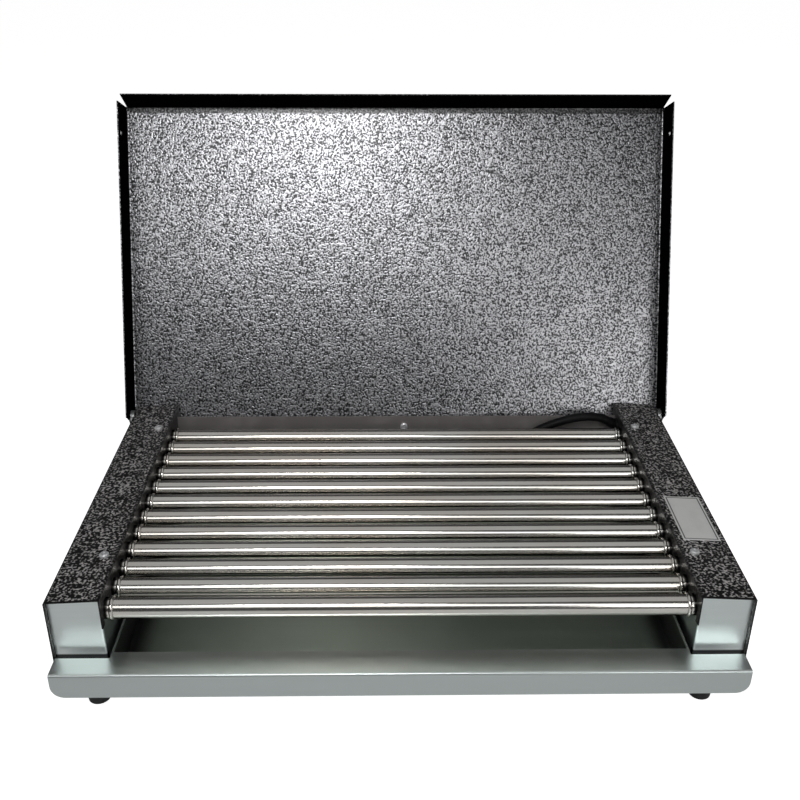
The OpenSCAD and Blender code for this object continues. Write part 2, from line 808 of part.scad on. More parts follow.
module boot() {
    wall_l = box_in_x - lip_x;
    difference() {
        union() {
            boot_cone(-1);
            boot_cone(1);
        }
        translate([lip_x, boot_y - boot_reach, boot_z - boot_reach])
            cube([wall_l, 2 * boot_reach, 2 * boot_reach]);
    }
    along_x(lip_x, boot_y, boot_z) cylinder(h = wall_l, r = boot_neck_r);
    along_x(lip_x - boot_flange_t, boot_y, boot_z) cylinder(h = boot_flange_t, r = boot_flange_r);
    along_x(box_in_x, boot_y, boot_z) cylinder(h = boot_flange_t, r = boot_flange_r);
}

// The coil spirals in on the floor, climbs a layer while it turns back, and spirals out again on top
function coil_radius(t) = coil_out_r - coil_step * (coil_turns + 0.25 - abs(t - coil_turns - 0.25));
function climb(s) = s <= 0 ? 0 : s >= 1 ? 1 : s * s * (3 - 2 * s);
function coil_point(t) = [
    coil_centre[0] + coil_radius(t) * cos(360 * t), coil_centre[1] + coil_radius(t) * sin(360 * t),
    coil_low_z + (coil_high_z - coil_low_z) * climb(2 * (t - coil_turns))
];
coil_last = 2 * coil_turns + 0.5;
coil_path = concat(
    [cord_route[len(cord_route) - 1]],
    [for (i = [0:coil_rings * coil_last]) coil_point(i / coil_rings)],
    [plug_route[0]]
);

function path_length(p, i = 1) = i < len(p) ? norm(p[i] - p[i - 1]) + path_length(p, i + 1) : 0;
coil_gaps = [
    for (i = [0:len(coil_path) - 1], j = [0:len(coil_path) - 1])
        if (j - i > coil_rings / 2) norm(coil_path[i] - coil_path[j])
];
lead_length = path_length(cord_route) + path_length(coil_path) + path_length(plug_route);
echo(coil_self_gap = min(coil_gaps) - cord_d, lead_length = lead_length);
echo(mid_y = mid_y, hinge = [hinge_y - mid_y, hinge_z], close_angle = close_angle, body_d = body_d);

// Round moulded plug with a tapered neck, lying on its side
plug_start = plug_route[len(plug_route) - 1];
plug_neck_l = 24;
plug_body_l = 28;
plug_pin_l = 19;
plug_pin_d = 4.8;
plug_pin_y = 9.5;
plug_slot = [6, 7];
plug_earth = [1, 5];
plug_slot_back = 12;
plug_slot_z = plug_neck_l + plug_slot_back;

module plug() {
    translate(plug_start) rotate([0, -90, 0]) difference() {
        union() {
            cylinder(h = plug_neck_l, r1 = cord_r + 1.2, r2 = 9);
            translate([0, 0, plug_neck_l]) cylinder(h = 6, r1 = 12, r2 = plug_d / 2);
            translate([0, 0, plug_neck_l + 6]) cylinder(h = plug_body_l - 6, d = plug_d);
        }
        for (side = [-1, 1]) {
            translate([side * (plug_d / 2 + 1.5) - plug_slot[0] / 2, -plug_slot[1] / 2, plug_slot_z])
                cube([plug_slot[0], plug_slot[1], plug_body_l]);
        }
    }
}

module plug_contacts() {
    translate(plug_start) rotate([0, -90, 0]) {
        for (side = [-1, 1]) {
            translate([0, side * plug_pin_y, plug_neck_l + plug_body_l])
                cylinder(h = plug_pin_l, d = plug_pin_d);
            translate([side * (plug_d / 2 - 1) - plug_earth[0] / 2, -plug_earth[1] / 2, plug_slot_z])
                cube([plug_earth[0], plug_earth[1], plug_body_l - plug_slot_back]);
        }
    }
}

hammered = "#2c2c2e";
galvanised = "#a7b3b2";
stainless = "#cfc9bf";
ceramic = "#ece6d8";
copper = "#b8763f";
bright = "#c4c6c8";
black = "#141414";

color(hammered) in_body() side_cover(-1);  // left_cover
color(hammered) in_body() side_cover(1);  // right_cover
color(galvanised) in_body() side_chassis(-1);  // left_chassis
color(galvanised) in_body() side_chassis(1);  // right_chassis
color("#4a4644") in_body() rear_cross_panel();  // rear_panel
color(galvanised) in_body() front_cross_rail();  // front_rail
color(galvanised) in_body() rear_cross_rail();  // rear_rail
color(galvanised) in_body() tray_runner(-1);  // left_tray_runner
color(galvanised) in_body() tray_runner(1);  // right_tray_runner
for (i = [0:tube_n - 1]) {
    color(stainless) in_body() heating_tube(i);
}
color(ceramic) in_body() core_rods();  // ceramic_cores
color(bright) in_body() windings();  // heating_windings
color(ceramic) in_body() bushes();  // end_bushes
color(bright) in_body() pins();  // terminal_pins
color(bright) in_body() pin_nuts();  // terminal_nuts
color(copper) in_body() bus_strip(-1);  // left_bus_strip
color(copper) in_body() bus_strip(1);  // right_bus_strip
color(ceramic) in_body() block();  // terminal_block
color(bright) in_body() block_fixings();  // block_screws
color("#7a4a2c") three_cores();  // cord_cores
color("#7a4a2c") in_body() lead(live_route);  // live_lead
color("#3c6ea8") in_body() lead(neutral_route);  // neutral_link
color("#7fa03c") in_body() lead(earth_route);  // earth_lead
color(bright) in_body() earth_fixing();  // earth_screw
color(galvanised) in_body() clamp();  // cord_clamp
color(hammered) in_body() open_lid();  // lid
color(black) in_body() hinge_fixings();  // hinge_screws
color(bright) in_body() spacers();  // hinge_spacers
color(bright) in_body() inner_nuts();  // hinge_nuts
color(bright) in_body() cover_fixings();  // cover_screws
color(bright) in_body() panel_fixing();  // panel_screw
color("#d4d6d8") in_body() data_plate();  // label_plate
color(black) in_body() foot(-1, foot_end);  // front_left_foot
color(black) in_body() foot(1, foot_end);  // front_right_foot
color(black) in_body() foot(-1, body_d - foot_end);  // rear_left_foot
color(black) in_body() foot(1, body_d - foot_end);  // rear_right_foot
color(bright) in_body() foot_fixings();  // foot_screws
color(galvanised) in_body() tray();  // drip_tray
color(black) in_body() boot();  // cord_boot
color(black) swept_tube(tail_route, cord_r, cord_sides, [0, 1, 0]);  // cord_tail
color(black) swept_tube(cord_route, cord_r, cord_sides, [0, 1, 0]);  // cord_run
color(black) swept_tube(coil_path, cord_r, coil_sides, [0, 0, 1]);  // cord_coil
color(black) swept_tube(plug_route, cord_r, cord_sides, [0, 0, 1]);  // cord_end
color(black) plug();  // plug_body
color(bright) plug_contacts();  // plug_pins
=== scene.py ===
import bpy
from math import cos, pi, radians, sin
from mathutils import Matrix, Vector


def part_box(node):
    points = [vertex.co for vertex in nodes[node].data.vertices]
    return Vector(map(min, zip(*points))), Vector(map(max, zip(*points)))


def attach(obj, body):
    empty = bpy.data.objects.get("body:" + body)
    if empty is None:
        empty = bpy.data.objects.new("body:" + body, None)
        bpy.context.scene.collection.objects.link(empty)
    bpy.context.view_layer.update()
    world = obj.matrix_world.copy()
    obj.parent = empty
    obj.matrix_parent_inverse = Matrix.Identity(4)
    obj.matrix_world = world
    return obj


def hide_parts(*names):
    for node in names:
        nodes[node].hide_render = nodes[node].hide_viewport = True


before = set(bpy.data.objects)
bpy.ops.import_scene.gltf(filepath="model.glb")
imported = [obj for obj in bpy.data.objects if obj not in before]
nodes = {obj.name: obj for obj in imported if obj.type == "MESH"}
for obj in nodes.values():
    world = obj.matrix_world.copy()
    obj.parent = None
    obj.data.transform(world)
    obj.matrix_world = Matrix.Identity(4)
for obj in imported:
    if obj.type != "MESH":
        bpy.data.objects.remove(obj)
scene = bpy.context.scene
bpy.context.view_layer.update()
print("frame loaded, nodes:", len(nodes))


def deselectAll():
    if bpy.context.object and bpy.context.object.mode != "OBJECT":
        bpy.ops.object.mode_set(mode="OBJECT")
    bpy.ops.object.select_all(action="DESELECT")


deselectAll()


# Camera at the photograph's place: pitch down, yaw and a small roll in degrees, and the lens and film
# width in millimetres for a square picture
cameraSetup = {
    "place": (-0.0117, -0.7767, 0.556),
    "pitchDown": 26.746,
    "yaw": -0.96,
    "roll": 0.27,
    "lens": 44.56,
    "filmWidth": 36,
    "nearest": 0.01,
}


def addCamera(setup):
    bpy.ops.object.camera_add(location=setup["place"])
    camera = bpy.context.object
    camera.name = "photoCamera"
    turn = Matrix.Rotation(radians(setup["yaw"]), 3, "Z")
    turn = turn @ Matrix.Rotation(radians(90 - setup["pitchDown"]), 3, "X")
    turn = turn @ Matrix.Rotation(radians(setup["roll"]), 3, "Z")
    camera.rotation_euler = turn.to_euler()
    camera.data.sensor_width = setup["filmWidth"]
    camera.data.lens = setup["lens"]
    camera.data.clip_start = setup["nearest"]
    scene.camera = camera


addCamera(cameraSetup)
print("camera placed")


# Mains lead: the same points as the solids, on one smooth curve. The diameter is in metres, and the route
# and the coil are in millimetres
perMetre = 1000
leadSetup = {
    "diameter": 0.0084,
    "smoothSteps": 3,
    "roundSteps": 6,
    "run": [
        (210, 90, 95), (204, 90, 98), (192, 90, 100), (178, 90, 99), (160, 90, 94),
        (144, 90, 87), (129, 90, 77), (116, 91, 64), (107, 95, 50), (101, 104, 38),
        (98, 118, 26), (95, 134, 15), (93, 149, 7), (93, 162, 4.2), (93, 171, 4.2),
    ],
    "coilCentre": (35, 180),
    "coilRadius": 58,
    "coilStep": 8.9,
    "coilTurns": 2,
    "coilRings": 24,
    "lowHeight": 4.2,
    "highHeight": 13.1,
    "plugRun": [
        (-23, 171, 13.1), (-23, 165, 13.1), (-26, 153, 14), (-34, 141, 15.5), (-47, 133, 17),
        (-61, 130, 18.3), (-70, 130, 18.5), (-74, 130, 18.5),
    ],
}


def coilPoints(setup):
    # The lead winds inwards on the floor, climbs half way through, and winds out again on top
    turns = setup["coilTurns"]
    middle = turns + 0.25        # the innermost point, counted in turns
    rings = setup["coilRings"]
    points = []
    for i in range(int(rings * 2 * middle) + 1):
        t = i / rings
        radius = setup["coilRadius"] - setup["coilStep"] * (middle - abs(t - middle))
        s = min(max(2 * (t - turns), 0), 1)
        climb = s * s * (3 - 2 * s)
        points.append((
            setup["coilCentre"][0] + radius * cos(2 * pi * t),
            setup["coilCentre"][1] + radius * sin(2 * pi * t),
            setup["lowHeight"] + (setup["highHeight"] - setup["lowHeight"]) * climb,
        ))
    return points


def smoothLine(points, steps):
    # A Catmull-Rom line through the points, with the chord lengths as its knots
    tiny = 1e-6
    line = [points[0] - (points[1] - points[0])] + points + [points[-1] + (points[-1] - points[-2])]
    out = []
    for p0, p1, p2, p3 in zip(line, line[1:], line[2:], line[3:]):
        k1 = max((p1 - p0).length, tiny)
        k2 = k1 + max((p2 - p1).length, tiny)
        k3 = k2 + max((p3 - p2).length, tiny)
        for step in range(steps):
            t = k1 + (k2 - k1) * step / steps
            a1 = p0.lerp(p1, t / k1)
            a2 = p1.lerp(p2, (t - k1) / (k2 - k1))
            a3 = p2.lerp(p3, (t - k2) / (k3 - k2))
            b1 = a1.lerp(a2, t / k2)
            b2 = a2.lerp(a3, (t - k1) / (k3 - k1))
            out.append(b1.lerp(b2, (t - k1) / (k2 - k1)))
    out.append(points[-1])
    return out


def buildLead(setup):
    corners = setup["run"] + coilPoints(setup) + setup["plugRun"]
    route = smoothLine([Vector(corner) / perMetre for corner in corners], setup["smoothSteps"])
    curve = bpy.data.curves.new("mainsLead", "CURVE")
    curve.dimensions = "3D"
    curve.bevel_depth = 1.0        # the points' own radius gives the thickness
    curve.bevel_resolution = setup["roundSteps"]
    curve.use_fill_caps = True
    spline = curve.splines.new("POLY")
    spline.points.add(len(route) - 1)
    for point, place in zip(spline.points, route):
        point.co = (*place, 1)
        point.radius = setup["diameter"] / 2
    lead = bpy.data.objects.new("mainsLead", curve)
    scene.collection.objects.link(lead)
    length = sum((b - a).length for a, b in zip(route, route[1:]))
    return lead, length


mainsLead, leadLength = buildLead(leadSetup)
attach(mainsLead, "frame")
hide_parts("cord_run", "cord_coil", "cord_end")
print("lead laid, length", round(leadLength, 3))

# Tie: a soft strap round all the turns of the coil, in metres and degrees
tieSetup = {
    "turn": 45,
    "radius": 0.048,
    "wide": 0.0282,
    "high": 0.0183,
    "along": 0.012,
    "thick": 0.0011,
    "round": 0.006,
    "roundSteps": 5,
    "edge": 0.0003,
    "edgeSteps": 2,
    "edgeFrom": 40,
    "smoothBelow": 35,
}


def selectEdges(mesh, shortest=0.001):
    # Edit mode selection is set through the mesh: here the four edges that run across the strap, along Y
    bpy.ops.mesh.select_mode(type="EDGE")
    bpy.ops.mesh.select_all(action="DESELECT")
    bpy.ops.object.mode_set(mode="OBJECT")
    for edge in mesh.edges:
        a, b = [mesh.vertices[i].co for i in edge.vertices]
        edge.select = abs(a.y - b.y) > shortest
    bpy.ops.object.mode_set(mode="EDIT")


def selectSides(mesh, straightness=0.9):
    # The two faces that look along Y, where the lead's turns pass through
    bpy.ops.mesh.select_mode(type="FACE")
    bpy.ops.mesh.select_all(action="DESELECT")
    bpy.ops.object.mode_set(mode="OBJECT")
    for face in mesh.polygons:
        face.select = abs(face.normal.y) > straightness
    bpy.ops.object.mode_set(mode="EDIT")


def addTie(setup, lead):
    bpy.ops.mesh.primitive_cube_add(size=1, location=(0, 0, setup["high"] / 2))
    tie = bpy.context.object
    tie.name = "leadTie"
    tie.scale = (setup["wide"], setup["along"], setup["high"])
    bpy.ops.object.transform_apply(location=True, rotation=True, scale=True)
    bpy.ops.object.mode_set(mode="EDIT")
    selectEdges(tie.data)
    bpy.ops.mesh.bevel(offset=setup["round"], segments=setup["roundSteps"])
    selectSides(tie.data)
    bpy.ops.mesh.inset(thickness=setup["thick"])
    bpy.ops.mesh.bridge_edge_loops()
    bpy.ops.mesh.select_all(action="SELECT")
    bpy.ops.mesh.normals_make_consistent(inside=False)
    bpy.ops.object.mode_set(mode="OBJECT")
    soften = tie.modifiers.new("softEdges", "BEVEL")
    soften.width = setup["edge"]
    soften.segments = setup["edgeSteps"]
    soften.limit_method = "ANGLE"
    soften.angle_limit = radians(setup["edgeFrom"])
    bpy.ops.object.modifier_apply(modifier=soften.name)
    bpy.ops.object.shade_smooth_by_angle(angle=radians(setup["smoothBelow"]))
    turn = radians(setup["turn"])
    centre = Vector((*lead["coilCentre"], 0)) / perMetre
    tie.rotation_euler = (0, 0, turn)
    tie.location = centre + setup["radius"] * Vector((cos(turn), sin(turn), 0))
    bpy.ops.object.transform_apply(location=True, rotation=True, scale=True)
    deselectAll()
    return tie


deselectAll()
leadTie = addTie(tieSetup, leadSetup)
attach(leadTie, "frame")
print("tie placed")


# Nodes for the materials

def setInput(tree, socket, value):
    # An output is linked, and a value is set. Colours are given without their alpha
    if isinstance(value, bpy.types.NodeSocket):
        tree.links.new(value, socket)
    elif socket.type == "RGBA":
        socket.default_value = (*value, 1)
    else:
        socket.default_value = value


def addNode(tree, kind, settings=None, inputs=None):
    node = tree.nodes.new(kind)
    for key, value in (settings or {}).items():
        setattr(node, key, value)
    for key, value in (inputs or {}).items():
        setInput(tree, node.inputs[key], value)
    return node


def addMath(tree, operation, *values):
    node = addNode(tree, "ShaderNodeMath", {"operation": operation}, dict(enumerate(values)))
    return node.outputs[0]


def addVectorMath(tree, operation, a, b):
    node = addNode(tree, "ShaderNodeVectorMath", {"operation": operation}, {0: a, 1: b})
    return node.outputs["Value" if operation == "DOT_PRODUCT" else "Vector"]


def addRange(tree, value, span, ends=(0, 1), kind="SMOOTHSTEP"):
    # The first end below the span, the last end above it, and a soft step between them
    node = addNode(tree, "ShaderNodeMapRange", {"interpolation_type": kind}, {
        "Value": value, "From Min": span[0], "From Max": span[1], "To Min": ends[0], "To Max": ends[1],
    })
    return node.outputs["Result"]


def addBlend(tree, mask, low, high):
    # From low to high as the mask goes from nought to one
    return addRange(tree, mask, (0, 1), (low, high), "LINEAR")


def addMix(tree, factor, a, b):
    return addNode(tree, "ShaderNodeMix", {"data_type": "RGBA"}, {0: factor, 6: a, 7: b}).outputs[2]


def addNoise(tree, place, scale, detail, distortion=0.0):
    return addNode(tree, "ShaderNodeTexNoise", {}, {
        "Vector": place, "Scale": scale, "Detail": detail, "Distortion": distortion,
    }).outputs["Fac"]


def addStretchedNoise(tree, place, stretch):
    stretched = addNode(tree, "ShaderNodeMapping", {}, {"Vector": place, "Scale": stretch})
    return addNoise(tree, stretched.outputs[0], scale=1.0, detail=2.0)


def splitPlace(tree, place):
    return addNode(tree, "ShaderNodeSeparateXYZ", {}, {"Vector": place}).outputs


def objectPlace(tree):
    return addNode(tree, "ShaderNodeTexCoord").outputs["Object"]


def surfaceNormal(tree):
    return addNode(tree, "ShaderNodeNewGeometry").outputs["Normal"]


def looksInward(tree, place, most=1, span=(-0.16, -0.04)):
    # Where a face looks towards the middle of the grill, its normal and its place point opposite ways
    turned = addVectorMath(tree, "MULTIPLY", surfaceNormal(tree), place)
    return addRange(tree, splitPlace(tree, turned)["X"], span, (most, 0))


def newMaterial(name):
    material = bpy.data.materials.new(name)
    material.use_nodes = True
    tree = material.node_tree
    return material, tree, tree.nodes["Principled BSDF"]


def setShader(tree, shader, values):
    for key, value in values.items():
        setInput(tree, shader.inputs[key], value)


def addBump(tree, shader, height, look):
    bump = addNode(tree, "ShaderNodeBump", {}, {
        "Height": height, "Strength": look["bump"], "Distance": look["bumpDepth"],
    })
    tree.links.new(bump.outputs["Normal"], shader.inputs["Normal"])


def newGroup(name, inputs, outputs):
    group = bpy.data.node_groups.new(name, "ShaderNodeTree")
    for label, kind in inputs.items():
        group.interface.new_socket(label, in_out="INPUT", socket_type="NodeSocket" + kind)
    for label, kind in outputs.items():
        group.interface.new_socket(label, in_out="OUTPUT", socket_type="NodeSocket" + kind)
    start = group.nodes.new("NodeGroupInput")
    end = group.nodes.new("NodeGroupOutput")
    return group, start.outputs, end.inputs


def useGroup(tree, group, values):
    return addNode(tree, "ShaderNodeGroup", {"node_tree": group}, values).outputs


# Hammer paint: silver flakes drawn into short worms over a dark ground, with a dimpled skin
hammerPattern = {"twist": 0.35, "driftScale": 60.0, "drift": 0.12, "middle": 1.06}


def makeHammerGroup(pattern):
    group, given, out = newGroup(
        "hammerPaint",
        {"Place": "Vector", "Scale": "Float", "Ground": "Color", "Flake": "Color", "Cover": "Float",
         "Softness": "Float"},
        {"Color": "Color", "Flakes": "Float", "Height": "Float"},
    )
    worms = addNoise(group, given["Place"], given["Scale"], detail=0.0, distortion=pattern["twist"])
    drift = addNoise(group, given["Place"], pattern["driftScale"], detail=2.0)
    level = addMath(group, "MULTIPLY_ADD", drift, pattern["drift"], worms)
    edge = addMath(group, "SUBTRACT", pattern["middle"], given["Cover"])
    low = addMath(group, "SUBTRACT", edge, given["Softness"])
    high = addMath(group, "ADD", edge, given["Softness"])
    flakes = addRange(group, level, (low, high))
    setInput(group, out["Color"], addMix(group, flakes, given["Ground"], given["Flake"]))
    setInput(group, out["Flakes"], flakes)
    setInput(group, out["Height"], level)
    return group


# Galvanised sheet: faint mottling, rolling lines and light stains
zincPattern = {
    "lineStretch": (6.0, 400.0, 400.0),
    "lineShare": 0.7,
    "mottleShare": 0.3,
    "cloudScale": 22.0,
    "cloudSpan": (0.3, 0.7),
    "stainSpan": (0.48, 0.72),
    "stainColor": (0.36, 0.4, 0.39),
}


def makeZincGroup(pattern):
    group, given, out = newGroup(
        "zincSheet",
        {"Place": "Vector", "Mottle": "Float", "Light": "Color", "Dark": "Color", "Stain": "Float",
         "Smooth": "Float", "Rough": "Float"},
        {"Color": "Color", "Roughness": "Float", "Height": "Float"},
    )
    mottle = addNoise(group, given["Place"], given["Mottle"], detail=1.0)
    lines = addStretchedNoise(group, given["Place"], pattern["lineStretch"])
    clouds = addNoise(group, given["Place"], pattern["cloudScale"], detail=4.0)
    lined = addMath(group, "MULTIPLY", lines, pattern["lineShare"])
    mixed = addMath(group, "MULTIPLY_ADD", mottle, pattern["mottleShare"], lined)
    base = addMix(group, mixed, given["Dark"], given["Light"])
    stained = addMath(group, "MULTIPLY", addRange(group, clouds, pattern["stainSpan"]), given["Stain"])
    rough = addRange(group, clouds, pattern["cloudSpan"], (given["Smooth"], given["Rough"]), "LINEAR")
    setInput(group, out["Color"], addMix(group, stained, base, pattern["stainColor"]))
    setInput(group, out["Roughness"], rough)
    setInput(group, out["Height"], lines)
    return group


# Fine grain with slow smudges, for moulded and plated pieces
grainPattern = {"smudgeScale": 40.0, "smudgeSpan": (0.42, 0.68)}


def makeGrainGroup(pattern):
    group, given, out = newGroup(
        "fineGrain",
        {"Place": "Vector", "Scale": "Float", "Base": "Color", "Worn": "Color", "Smooth": "Float",
         "Rough": "Float"},
        {"Color": "Color", "Roughness": "Float", "Height": "Float"},
    )
    grain = addNoise(group, given["Place"], given["Scale"], detail=3.0)
    smudge = addNoise(group, given["Place"], pattern["smudgeScale"], detail=3.0)
    worn = addRange(group, smudge, pattern["smudgeSpan"])
    setInput(group, out["Color"], addMix(group, worn, given["Base"], given["Worn"]))
    setInput(group, out["Roughness"], addBlend(group, worn, given["Smooth"], given["Rough"]))
    setInput(group, out["Height"], grain)
    return group


hammerGroup = makeHammerGroup(hammerPattern)
zincGroup = makeZincGroup(zincPattern)
grainGroup = makeGrainGroup(grainPattern)


# Painted sheets. The lid's places are measured from its hinge, inwards off its panel and upwards along it
lidLean = radians(21)
lidLook = {
    "scale": 590.0,
    "ground": (0.03, 0.03, 0.032),
    "flake": (0.46, 0.46, 0.48),
    "cover": 0.5,
    "softness": 0.18,
    "groundMetal": 0.75,
    "flakeMetal": 0.95,
    "groundRough": 0.29,
    "flakeRough": 0.28,
    "specular": 0.9,
    "edgeTint": (0, 0, 0),
    "bump": 0.45,
    "bumpDepth": 0.0006,
    "varnish": 0.6,
    "varnishRough": 0.25,
    "hinge": (0.0, 0.0993, 0.097),
    "inward": (0.0, -cos(lidLean), sin(lidLean)),
    "upward": (0.0, sin(lidLean), cos(lidLean)),
    # Painted shade: the near black given to the lid's turned-in edges
    "edgeShade": (0.003, 0.003, 0.0035),
    "edgeShadeFrom": (-0.0142, -0.0138),
    "edgeShadeFacing": (-0.8, -0.4),
    "plainRough": 0.5,
    # Painted shade: darker tones on the bend into the front edge
    "bendShadeFrom": (0.2966, 0.2978),
    "bendShadeDark": (0.03, 0.03, 0.031),
    "bendShadeLight": (0.12, 0.12, 0.123),
}
coverLook = {
    "scale": 520.0,
    "ground": (0.004, 0.004, 0.004),
    "flake": (0.76, 0.74, 0.73),
    "cover": 0.4,
    "softness": 0.13,
    "groundMetal": 0.0,
    "flakeMetal": 0.4,
    "groundRough": 0.3,
    "flakeRough": 0.4,
    "specular": 0.3,
    "edgeTint": (1, 1, 1),
    "bump": 0.4,
    "bumpDepth": 0.0006,
    # How far faces that look inwards are painted dark, as painted shade
    "inside": 0.6,
    # Painted shade lines along the bends and the front rim
    "outerEdge": (0.258, 0.259),
    "edgeTop": (0.0981, 0.0985),
    "innerEdge": (0.2207, 0.2219),
    "innerShade": 0.6,
    "frontEdge": (-0.1997, -0.1987),
}


def paintLidEdges(tree, look, place, color, flakes):
    # Inside, the lid's turned-in edges are painted near black where they look inwards or downwards, and the
    # bend beside the front one is painted in darker greys: both are painted shade
    offset = addVectorMath(tree, "SUBTRACT", place, look["hinge"])
    depth = addVectorMath(tree, "DOT_PRODUCT", offset, look["inward"])
    along = addVectorMath(tree, "DOT_PRODUCT", offset, look["upward"])
    # Painted shade on the bend beside the front edge
    bendShade = addRange(tree, along, look["bendShadeFrom"])
    color = addMix(tree, bendShade, color, addMix(tree, flakes, look["bendShadeDark"], look["bendShadeLight"]))
    facing = addVectorMath(tree, "DOT_PRODUCT", surfaceNormal(tree), look["upward"])
    facesDown = addRange(tree, facing, look["edgeShadeFacing"], (1, 0))
    inner = addMath(tree, "MAXIMUM", looksInward(tree, place), facesDown)
    # Painted shade: near black on the edges that look inwards or downwards
    edgeShade = addMath(tree, "MULTIPLY", inner, addRange(tree, depth, look["edgeShadeFrom"]))
    return addMix(tree, edgeShade, color, look["edgeShade"]), addMath(tree, "MAXIMUM", flakes, edgeShade), edgeShade


def paintCoverEdges(tree, look, place, color, flakes):
    # Faces that look inwards, the inner lips and the inside of the side walls, are painted towards the dark
    # ground: painted shade
    color = addMix(tree, looksInward(tree, place, look["inside"]), color, look["ground"])
    # Painted shade: the bends and the front rim are painted as dark lines
    apart = splitPlace(tree, place)
    wide = addMath(tree, "ABSOLUTE", apart["X"])
    outer = addRange(tree, wide, look["outerEdge"])
    high = addRange(tree, apart["Z"], look["edgeTop"])
    inner = addRange(tree, wide, look["innerEdge"], (1, 0))
    front = addRange(tree, apart["Y"], look["frontEdge"], (1, 0))
    rimShade = addMath(tree, "MAXIMUM", addMath(tree, "MULTIPLY", outer, high), front)
    rimShade = addMath(tree, "MAXIMUM", rimShade, addMath(tree, "MULTIPLY", inner, look["innerShade"]))
    return addMix(tree, rimShade, color, look["ground"]), flakes, None


def hammerMaterial(name, look, paintEdges):
    material, tree, shader = newMaterial(name)
    place = objectPlace(tree)
    paint = useGroup(tree, hammerGroup, {
        "Place": place, "Scale": look["scale"], "Ground": look["ground"], "Flake": look["flake"],
        "Cover": look["cover"], "Softness": look["softness"],
    })
    color, flakes, edgeShade = paintEdges(tree, look, place, paint["Color"], paint["Flakes"])
    rough = addBlend(tree, flakes, look["groundRough"], look["flakeRough"])
    if edgeShade:
        # The clear varnish stops at the edges with the painted shade, which are dull
        rough = addMath(tree, "ADD", rough, addMath(tree, "MULTIPLY", edgeShade, look["plainRough"]))
        setShader(tree, shader, {
            "Coat Weight": addBlend(tree, edgeShade, look["varnish"], 0),
            "Coat Roughness": look["varnishRough"],
        })
    setShader(tree, shader, {
        "Base Color": color,
        "Metallic": addBlend(tree, flakes, look["groundMetal"], look["flakeMetal"]),
        "Roughness": rough,
        "Specular IOR Level": look["specular"],
        "Specular Tint": look["edgeTint"],
    })
    addBump(tree, shader, paint["Height"], look)
    return material


lidPaint = hammerMaterial("hammerPaintLid", lidLook, paintLidEdges)
coverPaint = hammerMaterial("hammerPaintCovers", coverLook, paintCoverEdges)


# Galvanised sheets: the side boxes with what ties them together, and the drip tray
zincLook = {
    "mottle": 60.0,
    "light": (0.79, 0.86, 0.85),
    "dark": (0.73, 0.8, 0.79),
    "stain": 0.03,
    "smooth": 0.28,
    "rough": 0.33,
    "bump": 0.05,
    "bumpDepth": 0.0002,
    # Painted shade along the foot of the front plates
    "foot": (0.05, 0.055, 0.055),
    "footTop": (0.0506, 0.0518),
    "footFront": (-0.193, -0.192),
}
trayLook = {
    "mottle": 60.0,
    "light": (0.86, 0.92, 0.9),
    "dark": (0.8, 0.86, 0.84),
    "stain": 0.03,
    "smooth": 0.28,
    "rough": 0.34,
    "bump": 0.05,
    "bumpDepth": 0.0002,
    "pan": (0.8, 0.93, 0.84),
    "panTop": (0.0506, 0.0512),
    "panFront": (-0.1975, -0.1967),
    # Painted shade inside the pan: darker under the tubes and darker still at its ends
    "panDeepShade": (0.2, 0.22, 0.2),
    "deepFrom": (-0.12, -0.095),
    "panEndShade": (0.12, 0.13, 0.127),
    "endFrom": (0.195, 0.213),
    # Painted shade on the lip's face
    "lip": (0.62, 0.68, 0.67),
    "lipFace": (-0.2214, -0.2208),
}


def paintFootShade(tree, look, apart, color):
    # Painted shade: a dark line along the foot of each front plate, over the tray's ledge, for the shadow of
    # the gap there
    foot = addRange(tree, apart["Z"], look["footTop"], (1, 0))
    front = addRange(tree, apart["Y"], look["footFront"], (1, 0))
    return addMix(tree, addMath(tree, "MULTIPLY", foot, front), color, look["foot"])


def paintPan(tree, look, apart, color):
    # Inside the pan the sheet is tinted greener, with painted shade that darkens it most of all under the
    # tubes and at its ends
    ends = addRange(tree, addMath(tree, "ABSOLUTE", apart["X"]), look["endFrom"])
    low = addRange(tree, apart["Z"], look["panTop"], (1, 0))
    inside = addMath(tree, "MULTIPLY", low, addRange(tree, apart["Y"], look["panFront"]))
    deepShade = addMix(tree, addRange(tree, apart["Y"], look["deepFrom"]), look["pan"], look["panDeepShade"])
    color = addMix(tree, inside, color, addMix(tree, ends, deepShade, look["panEndShade"]))
    # Painted shade: the lip's face is painted darker
    return addMix(tree, addRange(tree, apart["Y"], look["lipFace"], (1, 0)), color, look["lip"])


def zincMaterial(name, look, paintUse):
    material, tree, shader = newMaterial(name)
    place = objectPlace(tree)
    zinc = useGroup(tree, zincGroup, {
        "Place": place, "Mottle": look["mottle"], "Light": look["light"], "Dark": look["dark"],
        "Stain": look["stain"], "Smooth": look["smooth"], "Rough": look["rough"],
    })
    setShader(tree, shader, {
        "Base Color": paintUse(tree, look, splitPlace(tree, place), zinc["Color"]),
        "Roughness": zinc["Roughness"],
        "Metallic": 1.0,
    })
    addBump(tree, shader, zinc["Height"], look)
    return material


zincSheet = zincMaterial("galvanisedSheet", zincLook, paintFootShade)
zincTray = zincMaterial("galvanisedTray", trayLook, paintPan)


